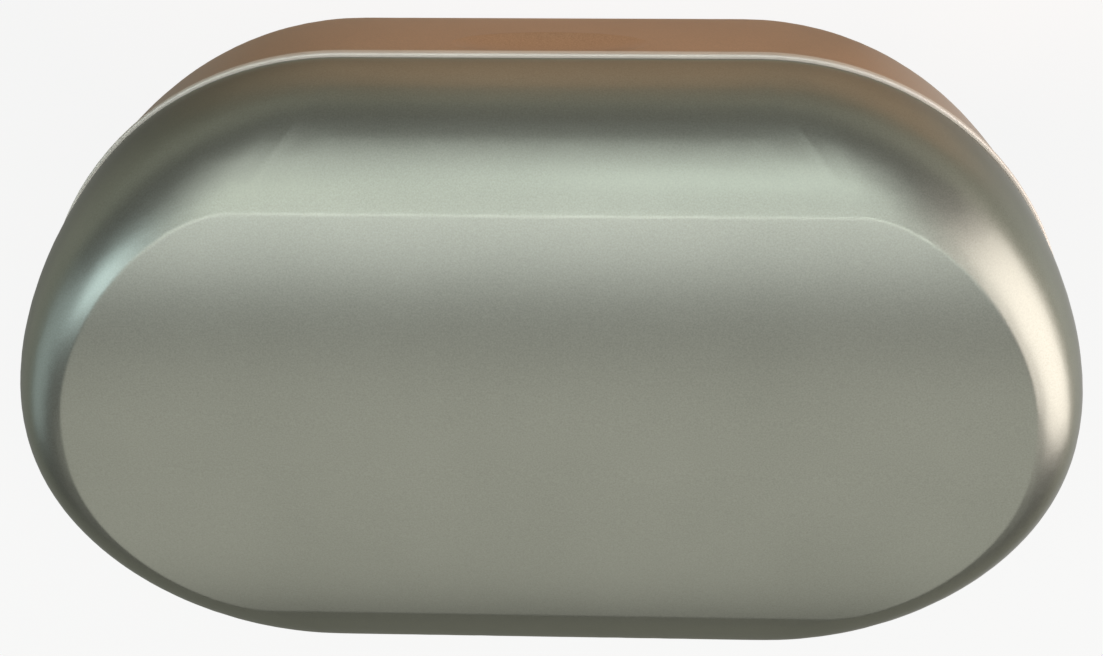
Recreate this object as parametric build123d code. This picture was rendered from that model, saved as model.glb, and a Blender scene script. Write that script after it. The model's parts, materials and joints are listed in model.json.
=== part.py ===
"""Charging case for a pair of behind-the-ear hearing aids, closed, standing on its feet.

Millimetres. Origin at the centre of the footprint, at the height the feet stand on. +X along the case,
-Y towards the opening edge, +Y towards the hinge, +Z up.
"""

from build123d import *
from math import pi, radians, sin, sqrt, tan
import os

# Overall sizes
CASE_LENGTH = 98.0
CASE_DEPTH = 61.2
SEAM_HEIGHT = 20.8
LID_RISE = 16.5
FOOT_RISE = 0.8
WALL = 1.8

# Rim trim, the pale line between the two shells
TRIM_PROUD = 0.35
TRIM_HEIGHT = 1.0
TRIM_ROUND = 0.2
LID_GAP = 0.12

# Shoulders: how far each wall leans in by the top, and how late it starts to
LID_END_REACH = 9.64
LID_END_POWER = 3.52
LID_TOP_HALF_WIDTH = 3.45
LID_SIDE_POWER = 2.1
BASE_REACH = 6.5
BASE_POWER = 3.2
CROWN_MARGIN = 1.009
ARCH_DROP = 7.55
CREASE_ROUND = 0.35
SECTION_COUNT = 11

# Thumb scoop under the front of the trim
SCOOP_WIDTH = 18.0
SCOOP_HEIGHT = 7.0
SCOOP_DEPTH = 0.9

# Clearances
NEST_GAP = 0.2
SOFT_GAP = 0.3
RUNNING_GAP = 0.05
SEATED_GAP = 0.02
SWING_GAP = 0.3
SCREW_GAP = 0.1
CUT_PAST = 1.0

# Hinge
HINGE_RADIUS = 1.9
HINGE_PIN_RADIUS = 0.6
HINGE_EDGES = (-24.0, -15.2, -6.4, 6.4, 15.2, 24.0)
HINGE_GROOVE_ANGLE = 48.0
LEAF_THICKNESS = 1.0
LEAF_INSET = 4.2
BASE_LEAF_DROP = 8.3
LID_LEAF_RISE = 6.0
LEAF_CLEAR = 0.9
LEAF_SCREW_DROP = 5.0
LEAF_SCREW_RISE = 4.4
BASE_HINGE_SCREW_X = (-18.0, 0.0, 18.0)
LID_HINGE_SCREW_X = (-10.8, 10.8)

# Deck, the tray that holds the aids
DECK_DROP = 0.4
DECK_THICKNESS = 1.6
CUP_WALL = 1.2
WELL_INBOARD = 1.925
WELL_Y = -1.0
WELL_LENGTH = 33.0
WELL_WIDTH = 13.0
WELL_DEPTH = 12.0
WELL_TILT = 8.0
TROUGH_WIDTH = 34.0
TROUGH_FRONT_GAP = 1.0
TROUGH_REAR_INSET = 10.25
TROUGH_DEPTH = 5.5
TROUGH_CORNER = 8.0
CHANNEL_WIDTH = 4.6
CHANNEL_AHEAD = 11.0
DOME_POCKET_RADIUS = 4.8
DOME_POCKET_DEPTH = 2.0
DOME_POCKET_X = 9.0
DOME_POCKET_AHEAD = 8.0
INSERT_WALL = 1.0
INSERT_FLANGE = 1.2
INSERT_FLANGE_THICKNESS = 0.8

# Contacts in each well
CONTACT_SHIFT = -9.0
CONTACT_SPACING = 4.0
CONTACT_BLOCK_LENGTH = 9.0
CONTACT_BLOCK_WIDTH = 4.4
PLUNGER_TIP_RADIUS = 0.6
PLUNGER_COLLAR_RADIUS = 1.0
PLUNGER_COLLAR_THICKNESS = 0.6
PLUNGER_TRAVEL = 0.8
PLUNGER_STAY_PROUD = 0.1
BLOCK_TOP_THICKNESS = 0.8
BLOCK_FLOOR = 0.5
SPRING_WIRE_RADIUS = 0.11
SPRING_TURNS = 4

# Main board and what stands on it
BOARD_THICKNESS = 1.0
BOARD_BOSS_HEIGHT = 1.8
BOARD_END_INSET = 5.65
BOARD_SIDE_INSET = 13.65
BOARD_BOSS_RADIUS = 2.4
BOARD_SCREW_CLEAR = 3.0
BOARD_SCREW_INSET = 4.6
BOARD_TAB_WIDTH = 14.0
SOCKET_OVERHANG = 2.9
SOCKET_WIDTH = 8.94
SOCKET_HEIGHT = 3.26
SOCKET_DEPTH = 7.3
SOCKET_WALL = 0.3
SOCKET_RECESS = 0.6
TONGUE_WIDTH = 6.7
TONGUE_THICKNESS = 0.7
TONGUE_LENGTH = 4.5
CHIP_SIZES = ((6.0, 6.0, 0.9), (5.0, 4.0, 1.0), (3.0, 3.0, 1.1), (4.0, 2.5, 1.2))
CHIP_ROUND = 0.15
CHIP_SHIFTS = ((-1, 0.0, 6.0), (1, 0.0, 7.0), (-1, 2.0, -1.0), (1, -1.5, -0.5))

# Battery
BATTERY_LENGTH = 38.0
BATTERY_WIDTH = 33.0
BATTERY_THICKNESS = 5.0
BATTERY_ROUND = 1.2
BATTERY_PAD_THICKNESS = 0.8
BATTERY_PAD_MARGIN = 4.0
PLUG_SIZE = (2.0, 5.0, 1.5)
PLUG_GAP = 0.4
LEAD_RADIUS = 0.4
LEAD_SPACING = 2.0
LEAD_Y = -6.0
LEAD_BEND = 1.3

# Button board, button and lights
BUTTON_BOARD_THICKNESS = 0.8
BUTTON_BOARD_DROP = 3.6
BUTTON_BOARD_WIDTH = 32.0
BUTTON_BOARD_DEPTH = 11.0
BUTTON_BOARD_INSET = 3.05
BUTTON_BOARD_CORNER = 1.0
BUTTON_INSET = 10.45
BUTTON_RADIUS = 3.5
BUTTON_FLANGE_RADIUS = 4.2
BUTTON_FLANGE_THICKNESS = 0.7
BUTTON_PROUD = 0.3
BUTTON_ROUND = 0.4
BUTTON_FOOT_RADIUS = 1.8
BUTTON_TRAVEL = 0.5
SWITCH_SIZE = 4.6
SWITCH_HEIGHT = 1.6
SWITCH_STEM_RADIUS = 1.3
SWITCH_STEM_PROUD = 0.6
SWITCH_BORE_DEPTH = 0.9
LIGHT_X = 8.5
LIGHT_INSET = 4.25
LIGHT_RADIUS = 0.9
LIGHT_COLLAR_RADIUS = 1.4
LIGHT_COLLAR_THICKNESS = 0.9
LED_SIZE = 1.6
LED_HEIGHT = 0.8
HALL_SIZE = (2.4, 1.6, 0.8)
HEADER_SIZE = (9.0, 2.4)
HEADER_MARGIN = 1.0
HEADER_CLEAR = 2.1
BUTTON_BOARD_SCREW_X = 13.0
BUTTON_BOARD_SCREW_AHEAD = 1.2
BUTTON_BOARD_BOSS_RADIUS = 2.0

# Magnets
MAGNET_RADIUS = 2.0
MAGNET_THICKNESS = 2.0
MAGNET_X = 17.0
MAGNET_INSET = 5.2
MAGNET_COVER = 0.6
MAGNET_BOSS_WALL = 0.9
SENSOR_MAGNET_RADIUS = 1.5
SENSOR_MAGNET_X = 7.0

# Lid liner and pads
LINER_WALL = 1.0
LINER_LIFT = 0.5
LINER_RIM_WIDTH = 5.0
LINER_RIM_HEIGHT = 3.0
PAD_LENGTH = 22.0
PAD_WIDTH = 8.0
PAD_CLEARANCE = 5.5

# Case screws and feet
CASE_SCREW_CLEAR = 0.3
CASE_SCREW_INSET = 10.75
CASE_SCREW_RADIUS = 1.0
CASE_SCREW_HEAD_RADIUS = 1.8
CASE_SCREW_HEAD_HEIGHT = 1.1
CASE_SCREW_LENGTH = 12.0
CASE_BOSS_RADIUS = 2.6
CASE_BOSS_HEIGHT = 5.4
FOOT_RADIUS = 4.2
FOOT_RECESS = 0.7
FOOT_ROUND = 0.4

# Small screws
SMALL_SCREW_RADIUS = 0.8
SMALL_SCREW_HEAD_RADIUS = 1.45
SMALL_SCREW_HEAD_HEIGHT = 0.7
SMALL_SCREW_LENGTH = 2.2
DRIVE_WIDTH = 0.5
DRIVE_DEPTH = 0.35

# Places worked out from the sizes above
HALF_LENGTH = CASE_LENGTH / 2 - TRIM_PROUD
HALF_DEPTH = CASE_DEPTH / 2 - TRIM_PROUD
INNER_HALF_LENGTH = HALF_LENGTH - WALL
INNER_HALF_DEPTH = HALF_DEPTH - WALL
BASE_DEPTH = SEAM_HEIGHT - FOOT_RISE
FLOOR_Z = FOOT_RISE + WALL
SHELL_TOP_Z = SEAM_HEIGHT - TRIM_HEIGHT
LID_EDGE_Z = SEAM_HEIGHT + LID_GAP
HINGE_Y = CASE_DEPTH / 2 - HINGE_RADIUS
HINGE_Z = SEAM_HEIGHT + LID_GAP / 2
LEAF_Y = HINGE_Y + HINGE_RADIUS - LEAF_INSET - LEAF_THICKNESS
LID_SIDE_REACH = HALF_DEPTH - LID_TOP_HALF_WIDTH
ARCH_RADIUS = (HALF_DEPTH**2 + ARCH_DROP**2) / (2 * ARCH_DROP)
DECK_TOP = SEAM_HEIGHT - DECK_DROP
DECK_BOTTOM = DECK_TOP - DECK_THICKNESS
WELL_FLOOR_Z = DECK_TOP - WELL_DEPTH
CUP_BOTTOM_Z = WELL_FLOOR_Z - CUP_WALL
TROUGH_FLOOR_Z = DECK_TOP - TROUGH_DEPTH
INSERT_FLOOR_Z = WELL_FLOOR_Z + INSERT_WALL
BOARD_Z = FLOOR_Z + BOARD_BOSS_HEIGHT
BOARD_TOP = BOARD_Z + BOARD_THICKNESS
BATTERY_Z = BOARD_TOP + BATTERY_PAD_THICKNESS
BUTTON_BOARD_TOP = DECK_BOTTOM - BUTTON_BOARD_DROP
BUTTON_BOARD_Z = BUTTON_BOARD_TOP - BUTTON_BOARD_THICKNESS
SWITCH_TOP = BUTTON_BOARD_TOP + SWITCH_HEIGHT
MAGNET_Y = -(HALF_DEPTH - MAGNET_INSET)
WELL_X = (BATTERY_LENGTH / 2 + INNER_HALF_LENGTH) / 2 - WELL_INBOARD
BUTTON_BOARD_FRONT_Y = -(HALF_DEPTH - BUTTON_BOARD_INSET)
BUTTON_BOARD_REAR_Y = BUTTON_BOARD_FRONT_Y + BUTTON_BOARD_DEPTH
BUTTON_Y = -(HALF_DEPTH - BUTTON_INSET)
BUTTON_BOARD_SCREW_Y = BUTTON_Y - BUTTON_BOARD_SCREW_AHEAD
LIGHT_FRONT_Y = -(HALF_DEPTH - LIGHT_INSET)
LIGHT_PLACES = ((-LIGHT_X, BUTTON_Y), (LIGHT_X, BUTTON_Y), (0.0, LIGHT_FRONT_Y))
TROUGH_FRONT_Y = BUTTON_BOARD_REAR_Y + TROUGH_FRONT_GAP + CUP_WALL
TROUGH_REAR_Y = HALF_DEPTH - TROUGH_REAR_INSET
TROUGH_LENGTH = TROUGH_REAR_Y - TROUGH_FRONT_Y
TROUGH_Y = (TROUGH_REAR_Y + TROUGH_FRONT_Y) / 2
CHANNEL_Y = TROUGH_REAR_Y - CHANNEL_AHEAD
DOME_POCKET_Y = TROUGH_REAR_Y - DOME_POCKET_AHEAD
BOARD_HALF_LENGTH = HALF_LENGTH - BOARD_END_INSET
BOARD_HALF_WIDTH = HALF_DEPTH - BOARD_SIDE_INSET
BOARD_SCREW_X = BATTERY_LENGTH / 2 + BOARD_SCREW_CLEAR
BOARD_SCREW_Y = BOARD_HALF_WIDTH - BOARD_SCREW_INSET
HEADER_Y = -(BATTERY_WIDTH / 2 + HEADER_CLEAR + HEADER_SIZE[1] / 2)
FRONT_TAB_REACH = HEADER_SIZE[1] / 2 + HEADER_MARGIN - HEADER_Y
CASE_SCREW_X = BATTERY_LENGTH / 2 + CASE_BOSS_RADIUS + CASE_SCREW_CLEAR
CASE_SCREW_Y = HALF_DEPTH - CASE_SCREW_INSET
LINER_Z = LID_EDGE_Z + LINER_LIFT
SIDES = (("left", -1), ("right", 1))

os.makedirs("parts", exist_ok=True)


def save(shape, node):
    """Write one node's solids to its own file."""
    export_step(shape, "parts/" + node + ".step")


def box_between(low, high):
    """Box from its lowest corner to its highest."""
    size = [high[i] - low[i] for i in range(3)]
    middle = [(high[i] + low[i]) / 2 for i in range(3)]
    return Pos(*middle) * Box(*size)


def post(x, y, low, high, radius):
    """Upright cylinder from one height to another."""
    return Pos(x, y, (low + high) / 2) * Cylinder(radius, high - low)


def bar_along_x(left, right, y, z, radius):
    """Cylinder that lies along the case."""
    return Pos((left + right) / 2, y, z) * Rot(0, 90, 0) * Cylinder(radius, right - left)


def bar_along_y(x, front, rear, z, radius):
    """Cylinder that lies front to back."""
    return Pos(x, (front + rear) / 2, z) * Rot(90, 0, 0) * Cylinder(radius, rear - front)


def lean(share, reach, power):
    """How far a wall has leant in at a share of its full height."""
    return reach * (1 - (1 - share**power) ** (1 / power))


def oval_wire(half_length, half_width, z):
    """Two straight sides and two round ends, as an outline at one height."""
    run = half_length - half_width
    slant = half_width / sqrt(2)
    edges = []
    for turn in (1, -1):
        edges.append(Line((-run * turn, half_width * turn, z), (run * turn, half_width * turn, z)))
        for start, middle, end in (
            ((run, half_width), (run + slant, slant), (run + half_width, 0)),
            ((run + half_width, 0), (run + slant, -slant), (run, -half_width)),
        ):
            points = [(x * turn, y * turn, z) for x, y in (start, middle, end)]
            edges.append(ThreePointArc(*points))
    return Wire(edges)


def oval_plate(half_length, half_width, low, high):
    """Flat plate with the oval outline."""
    face = Face(oval_wire(half_length, half_width, low))
    return Solid.extrude(face, (0, 0, high - low))


def pillow(half_length, half_width, rise, ends, sides):
    """Closed form whose upright walls lean in towards the top; ends and sides are (reach, power)."""
    outlines = []
    for step in range(SECTION_COUNT):
        share = sin(pi / 2 * step / (SECTION_COUNT - 1))
        full_share = share / CROWN_MARGIN
        length_here = half_length - lean(full_share, *ends)
        width_here = half_width - lean(full_share, *sides)
        outlines.append(oval_wire(length_here, width_here, share * rise))
    return Solid.make_loft(outlines)


def lid_form(shrink):
    """Outside of the lid, or a smaller form inside it, standing on its edge."""
    rise = LID_RISE - shrink
    sides = (LID_SIDE_REACH - 2 * shrink, LID_SIDE_POWER)
    form = pillow(HALF_LENGTH - shrink, HALF_DEPTH - shrink, rise, (LID_END_REACH, LID_END_POWER), sides)
    radius = ARCH_RADIUS - shrink
    arch = bar_along_x(-CASE_LENGTH / 2, CASE_LENGTH / 2, 0, rise - radius, radius)
    return Pos(0, 0, LID_EDGE_Z) * (form & arch)


def base_form(shrink):
    """Outside of the base, or a smaller form inside it, hanging from the seam."""
    reach = (BASE_REACH, BASE_POWER)
    form = pillow(HALF_LENGTH - shrink, HALF_DEPTH - shrink, BASE_DEPTH - shrink, reach, reach)
    return Pos(0, 0, SEAM_HEIGHT) * mirror(form, about=Plane.XY)


def hinge_room():
    """Space that the barrel turns in, and the groove that lets the rear edges swing past each other."""
    ends = HINGE_EDGES[0] - SWING_GAP, HINGE_EDGES[-1] + SWING_GAP
    barrel = bar_along_x(*ends, HINGE_Y, HINGE_Z, HINGE_RADIUS + SWING_GAP)
    back = 2 * HINGE_RADIUS
    spread = back * tan(radians(HINGE_GROOVE_ANGLE))
    apex = (HINGE_Y, HINGE_Z)
    outline = Polyline(apex, (HINGE_Y + back, HINGE_Z + spread), (HINGE_Y + back, HINGE_Z - spread), apex)
    groove = extrude(Plane.YZ * make_face(outline), CASE_LENGTH / 2, both=True)
    return barrel + groove


def screw(head_radius, head_height, radius, length):
    """Pan-head screw, point down, with its head standing on the plane and a cross recess in it."""
    body = post(0, 0, 0, head_height, head_radius) + post(0, 0, -length, 0, radius)
    for turn in (0, 90):
        slot = Rot(0, 0, turn) * Box(1.4 * head_radius, DRIVE_WIDTH, 2 * DRIVE_DEPTH)
        body -= Pos(0, 0, head_height) * slot
    return body


def small_screw():
    """Screw that holds the boards and the hinge leaves."""
    return screw(SMALL_SCREW_HEAD_RADIUS, SMALL_SCREW_HEAD_HEIGHT, SMALL_SCREW_RADIUS, SMALL_SCREW_LENGTH)


def capsule(length, width, low, high):
    """Upright block whose outline is a slot with round ends, long way front to back."""
    return Pos(0, 0, low) * extrude(Rot(0, 0, 90) * SlotOverall(length, width), high - low)


def well_place(side):
    """Where a well stands on the deck."""
    return Pos(side * WELL_X, WELL_Y, 0) * Rot(0, 0, side * WELL_TILT)


def contact_places(side):
    """Places of the two plungers of one well."""
    shifts = (CONTACT_SHIFT - CONTACT_SPACING / 2, CONTACT_SHIFT + CONTACT_SPACING / 2)
    return [well_place(side) * Pos(0, shift, 0) for shift in shifts]


def contact_window(side, gap, low, high):
    """Block outline of one contact block, grown by a gap."""
    size = (CONTACT_BLOCK_WIDTH + 2 * gap, CONTACT_BLOCK_LENGTH + 2 * gap, high - low)
    return well_place(side) * Pos(0, CONTACT_SHIFT, (low + high) / 2) * Box(*size)


def corners(x, y):
    """The four places at plus and minus x and y."""
    return [(x, y), (x, -y), (-x, y), (-x, -y)]


def leaf_screws(places, z):
    """Hinge leaf screws, their heads against the leaf's front."""
    return [Pos(x, LEAF_Y, z) * Rot(90, 0, 0) * small_screw() for x in places]


def leaf_holes(places, z):
    """Screw holes through a leaf and into its seat."""
    deep = LEAF_Y + SMALL_SCREW_LENGTH + SEATED_GAP
    return [bar_along_y(x, LEAF_Y - CUT_PAST, deep, z, SMALL_SCREW_RADIUS + SEATED_GAP) for x in places]


BASE_SCREW_Z = HINGE_Z - LEAF_SCREW_DROP
LID_SCREW_Z = HINGE_Z + LEAF_SCREW_RISE


def make_lid_shell():
    """Arched outer lid with a flat seat for its hinge leaf."""
    outside = lid_form(0)
    crease = outside.faces().sort_by(Axis.Z)[-1].edges()
    shell = fillet(crease, CREASE_ROUND) - lid_form(WALL)
    low = HINGE_Z + HINGE_RADIUS + SWING_GAP
    wide = HINGE_EDGES[4]
    seat = box_between((-wide, LEAF_Y + LEAF_THICKNESS, low), (wide, HINGE_Y, HINGE_Z + LID_LEAF_RISE))
    shell += seat & lid_form(WALL / 2)
    shell -= hinge_room()
    for hole in leaf_holes(LID_HINGE_SCREW_X, LID_SCREW_Z):
        shell -= hole
    return shell


def scoop_cutter():
    """Round-edged tool that presses the thumb scoop into the front wall."""
    plan_radius = (SCOOP_WIDTH**2 / 4 + SCOOP_DEPTH**2) / (2 * SCOOP_DEPTH)
    tall_radius = (SCOOP_HEIGHT**2 / 4 + SCOOP_DEPTH**2) / (2 * SCOOP_DEPTH)
    y = -HALF_DEPTH + SCOOP_DEPTH - plan_radius
    return Pos(0, y, SHELL_TOP_Z - SCOOP_HEIGHT / 2) * Torus(plan_radius - tall_radius, tall_radius)


def make_base_shell():
    """Outer base with board bosses, case screw bosses, foot recesses, hinge seat and charging inlet."""
    shell = base_form(0) - base_form(WALL)
    above = SEAM_HEIGHT + CUT_PAST
    shell -= box_between((-CASE_LENGTH, -CASE_DEPTH, SHELL_TOP_Z), (CASE_LENGTH, CASE_DEPTH, above))
    for x, y in corners(BOARD_SCREW_X, BOARD_SCREW_Y):
        shell += post(x, y, FLOOR_Z - WALL / 2, BOARD_Z, BOARD_BOSS_RADIUS)
        hole_low = BOARD_TOP - SMALL_SCREW_LENGTH - SEATED_GAP
        shell -= post(x, y, hole_low, BOARD_Z, SMALL_SCREW_RADIUS + SEATED_GAP)
    head_top = FOOT_RISE + FOOT_RECESS + CASE_SCREW_HEAD_HEIGHT
    for x, y in corners(CASE_SCREW_X, CASE_SCREW_Y):
        shell += post(x, y, FLOOR_Z - WALL / 2, FLOOR_Z + CASE_BOSS_HEIGHT, CASE_BOSS_RADIUS)
        shell -= post(x, y, FOOT_RISE, FLOOR_Z + CASE_BOSS_HEIGHT, CASE_SCREW_RADIUS + SCREW_GAP)
        shell -= post(x, y, FOOT_RISE, head_top, CASE_SCREW_HEAD_RADIUS + SCREW_GAP)
        shell -= post(x, y, FOOT_RISE, FOOT_RISE + FOOT_RECESS, FOOT_RADIUS + NEST_GAP)
    wide = HINGE_EDGES[-1]
    seat_bottom = HINGE_Z - BASE_LEAF_DROP
    seat_top = HINGE_Z - HINGE_RADIUS - SWING_GAP
    seat = box_between((-wide, LEAF_Y + LEAF_THICKNESS, seat_bottom), (wide, HALF_DEPTH, seat_top))
    shell += seat & base_form(WALL / 2)
    shell -= hinge_room()
    for hole in leaf_holes(BASE_HINGE_SCREW_X, BASE_SCREW_Z):
        shell -= hole
    shell -= inlet_slot()
    shell -= scoop_cutter()
    return shell


def socket_outline(grow):
    """Round-ended outline of the charging socket, upright, facing the rear."""
    return Plane.XZ * SlotOverall(SOCKET_WIDTH + 2 * grow, SOCKET_HEIGHT + 2 * grow)


SOCKET_Z = BOARD_TOP + SOCKET_HEIGHT / 2
SOCKET_SHARE = (SEAM_HEIGHT - SOCKET_Z) / BASE_DEPTH / CROWN_MARGIN
SOCKET_REAR = HALF_DEPTH - lean(SOCKET_SHARE, BASE_REACH, BASE_POWER) - SOCKET_RECESS
SOCKET_FRONT = SOCKET_REAR - SOCKET_DEPTH


def inlet_slot():
    """Hole in the rear wall that the charging socket looks out of."""
    slot = extrude(socket_outline(NEST_GAP), -2 * SOCKET_DEPTH)
    return Pos(0, SOCKET_FRONT, SOCKET_Z) * slot


def make_usb_socket():
    """Thin round-ended metal socket shell, open to the rear."""
    shell = extrude(socket_outline(0), -SOCKET_DEPTH)
    hollow = Pos(0, SOCKET_WALL, 0) * extrude(socket_outline(-SOCKET_WALL), -SOCKET_DEPTH)
    return Pos(0, SOCKET_FRONT, SOCKET_Z) * (shell - hollow)


def make_usb_tongue():
    """Contact tongue in the middle of the socket."""
    y = SOCKET_FRONT + SOCKET_WALL
    low = (-TONGUE_WIDTH / 2, y, SOCKET_Z - TONGUE_THICKNESS / 2)
    high = (TONGUE_WIDTH / 2, y + TONGUE_LENGTH, SOCKET_Z + TONGUE_THICKNESS / 2)
    return box_between(low, high)


def make_rim_trim():
    """Ring on the base's edge, open behind the hinge."""
    ring = oval_plate(CASE_LENGTH / 2, CASE_DEPTH / 2, SHELL_TOP_Z, SEAM_HEIGHT)
    flats = ring.faces().sort_by(Axis.Z)
    rims = flats[0].edges() + flats[-1].edges()
    ring = fillet(rims, TRIM_ROUND)
    ring -= oval_plate(INNER_HALF_LENGTH, INNER_HALF_DEPTH, SHELL_TOP_Z - CUT_PAST, SEAM_HEIGHT + CUT_PAST)
    return ring - hinge_room()


def magnet_disc(x, low, radius):
    """Round magnet behind the front edge."""
    return post(x, MAGNET_Y, low, low + MAGNET_THICKNESS, radius)


def magnet_pair(low):
    """The two closing magnets of one half of the case."""
    return Compound([magnet_disc(side * MAGNET_X, low, MAGNET_RADIUS) for side in (-1, 1)])


BASE_MAGNET_Z = DECK_TOP - MAGNET_COVER - MAGNET_THICKNESS
DECK_HALF_LENGTH = INNER_HALF_LENGTH - NEST_GAP
DECK_HALF_DEPTH = INNER_HALF_DEPTH - NEST_GAP


def channel_box(side, gap, low):
    """Block of the wire channel from the trough into one well, grown by a gap."""
    half = CHANNEL_WIDTH / 2 + gap
    run = sorted((side * TROUGH_WIDTH / 4, side * WELL_X))
    return box_between((run[0], CHANNEL_Y - half, low), (run[1], CHANNEL_Y + half, DECK_TOP))


def deck_side(side):
    """What one half of the deck adds to its plate, and what is cut from it."""
    dome_low = TROUGH_FLOOR_Z - DOME_POCKET_DEPTH
    dome_x = side * DOME_POCKET_X
    magnet_x = side * MAGNET_X
    screw_x = side * BUTTON_BOARD_SCREW_X
    screw_top = BUTTON_BOARD_Z + SMALL_SCREW_LENGTH + SEATED_GAP
    ledge = 2 * (INSERT_FLANGE - NEST_GAP)
    cup = capsule(WELL_LENGTH + 2 * CUP_WALL, WELL_WIDTH + 2 * CUP_WALL, CUP_BOTTOM_Z, DECK_TOP)
    magnet_boss = post(magnet_x, MAGNET_Y, BASE_MAGNET_Z, DECK_BOTTOM, MAGNET_RADIUS + MAGNET_BOSS_WALL)
    added = [
        well_place(side) * cup,
        channel_box(side, CUP_WALL, TROUGH_FLOOR_Z - CUP_WALL),
        post(dome_x, DOME_POCKET_Y, dome_low - CUP_WALL, DECK_BOTTOM, DOME_POCKET_RADIUS + CUP_WALL),
        magnet_boss & oval_plate(DECK_HALF_LENGTH, DECK_HALF_DEPTH, BASE_MAGNET_Z, DECK_TOP),
        post(screw_x, BUTTON_BOARD_SCREW_Y, BUTTON_BOARD_TOP, DECK_BOTTOM, BUTTON_BOARD_BOSS_RADIUS),
    ]
    seat_low = DECK_TOP - INSERT_FLANGE_THICKNESS
    hollows = [
        well_place(side) * capsule(WELL_LENGTH, WELL_WIDTH, WELL_FLOOR_Z, DECK_TOP),
        well_place(side) * capsule(WELL_LENGTH + ledge, WELL_WIDTH + ledge, seat_low, DECK_TOP),
        contact_window(side, NEST_GAP, CUP_BOTTOM_Z, WELL_FLOOR_Z),
        channel_box(side, 0, TROUGH_FLOOR_Z),
        post(dome_x, DOME_POCKET_Y, dome_low, DECK_TOP, DOME_POCKET_RADIUS),
        magnet_disc(magnet_x, BASE_MAGNET_Z, MAGNET_RADIUS + SEATED_GAP),
        post(screw_x, BUTTON_BOARD_SCREW_Y, BUTTON_BOARD_TOP, screw_top, SMALL_SCREW_RADIUS + SEATED_GAP),
    ]
    return added, hollows


def make_deck():
    """Tray with two wells, a centre trough, the wire channels and its screw posts."""
    deck = oval_plate(DECK_HALF_LENGTH, DECK_HALF_DEPTH, DECK_BOTTOM, DECK_TOP)
    hollows = []
    for name, side in SIDES:
        added, cut = deck_side(side)
        for piece in added:
            deck += piece
        hollows += cut
    walls = 2 * CUP_WALL
    basin = RectangleRounded(TROUGH_WIDTH + walls, TROUGH_LENGTH + walls, TROUGH_CORNER + CUP_WALL)
    deck += Pos(0, TROUGH_Y, TROUGH_FLOOR_Z - CUP_WALL) * extrude(basin, TROUGH_DEPTH + CUP_WALL)
    trough = RectangleRounded(TROUGH_WIDTH, TROUGH_LENGTH, TROUGH_CORNER)
    hollows.append(Pos(0, TROUGH_Y, TROUGH_FLOOR_Z) * extrude(trough, TROUGH_DEPTH))
    low = FLOOR_Z + CASE_BOSS_HEIGHT
    top = FOOT_RISE + FOOT_RECESS + CASE_SCREW_HEAD_HEIGHT + CASE_SCREW_LENGTH + SEATED_GAP
    for x, y in corners(CASE_SCREW_X, CASE_SCREW_Y):
        deck += post(x, y, low, DECK_BOTTOM, CASE_BOSS_RADIUS)
        hollows.append(post(x, y, low, top, CASE_SCREW_RADIUS + SEATED_GAP))
    hollows.append(post(0, BUTTON_Y, DECK_BOTTOM, DECK_TOP, BUTTON_RADIUS + RUNNING_GAP))
    for x, y in LIGHT_PLACES:
        hollows.append(post(x, y, DECK_BOTTOM, DECK_TOP, LIGHT_RADIUS + RUNNING_GAP))
    for hollow in hollows:
        deck -= hollow
    wide = HINGE_EDGES[-1] + SWING_GAP
    head = SMALL_SCREW_HEAD_HEIGHT + SWING_GAP
    deck -= box_between((-wide, LEAF_Y - head, DECK_BOTTOM - CUT_PAST), (wide, CASE_DEPTH, SEAM_HEIGHT))
    return deck


def make_insert(side):
    """Soft cradle that lines a well, with a window for the contacts and a gap for the wire."""
    length = WELL_LENGTH - 2 * NEST_GAP
    width = WELL_WIDTH - 2 * NEST_GAP
    flange = 2 * (INSERT_FLANGE - 2 * NEST_GAP)
    cradle = capsule(length, width, WELL_FLOOR_Z, DECK_TOP)
    flange_low = DECK_TOP - INSERT_FLANGE_THICKNESS
    cradle += capsule(WELL_LENGTH + flange, WELL_WIDTH + flange, flange_low, DECK_TOP)
    cradle -= capsule(length - 2 * INSERT_WALL, width - 2 * INSERT_WALL, INSERT_FLOOR_Z, DECK_TOP)
    cradle = well_place(side) * cradle
    cradle -= contact_window(side, NEST_GAP, WELL_FLOOR_Z, INSERT_FLOOR_Z)
    return cradle - channel_box(side, NEST_GAP, TROUGH_FLOOR_Z)


COLLAR_TOP = INSERT_FLOOR_Z - BLOCK_TOP_THICKNESS
SPRING_BOTTOM = BOARD_TOP + BLOCK_FLOOR


def make_contact_block(side):
    """Moulded block on the board with a stepped bore for each plunger."""
    block = contact_window(side, 0, BOARD_TOP, INSERT_FLOOR_Z)
    for place in contact_places(side):
        block -= place * post(0, 0, SPRING_BOTTOM, COLLAR_TOP, PLUNGER_COLLAR_RADIUS + RUNNING_GAP)
        block -= place * post(0, 0, COLLAR_TOP, INSERT_FLOOR_Z, PLUNGER_TIP_RADIUS + RUNNING_GAP)
    return block


def make_plungers(side):
    """Two sprung charging pins with domed tips and a collar that stops them."""
    collar = COLLAR_TOP - RUNNING_GAP
    tip = INSERT_FLOOR_Z + PLUNGER_STAY_PROUD + PLUNGER_TRAVEL
    pin = post(0, 0, collar - PLUNGER_COLLAR_THICKNESS, tip - PLUNGER_TIP_RADIUS, PLUNGER_TIP_RADIUS)
    pin += Pos(0, 0, tip - PLUNGER_TIP_RADIUS) * Sphere(PLUNGER_TIP_RADIUS)
    pin += post(0, 0, collar - PLUNGER_COLLAR_THICKNESS, collar, PLUNGER_COLLAR_RADIUS)
    return Compound([place * pin for place in contact_places(side)])


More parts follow.
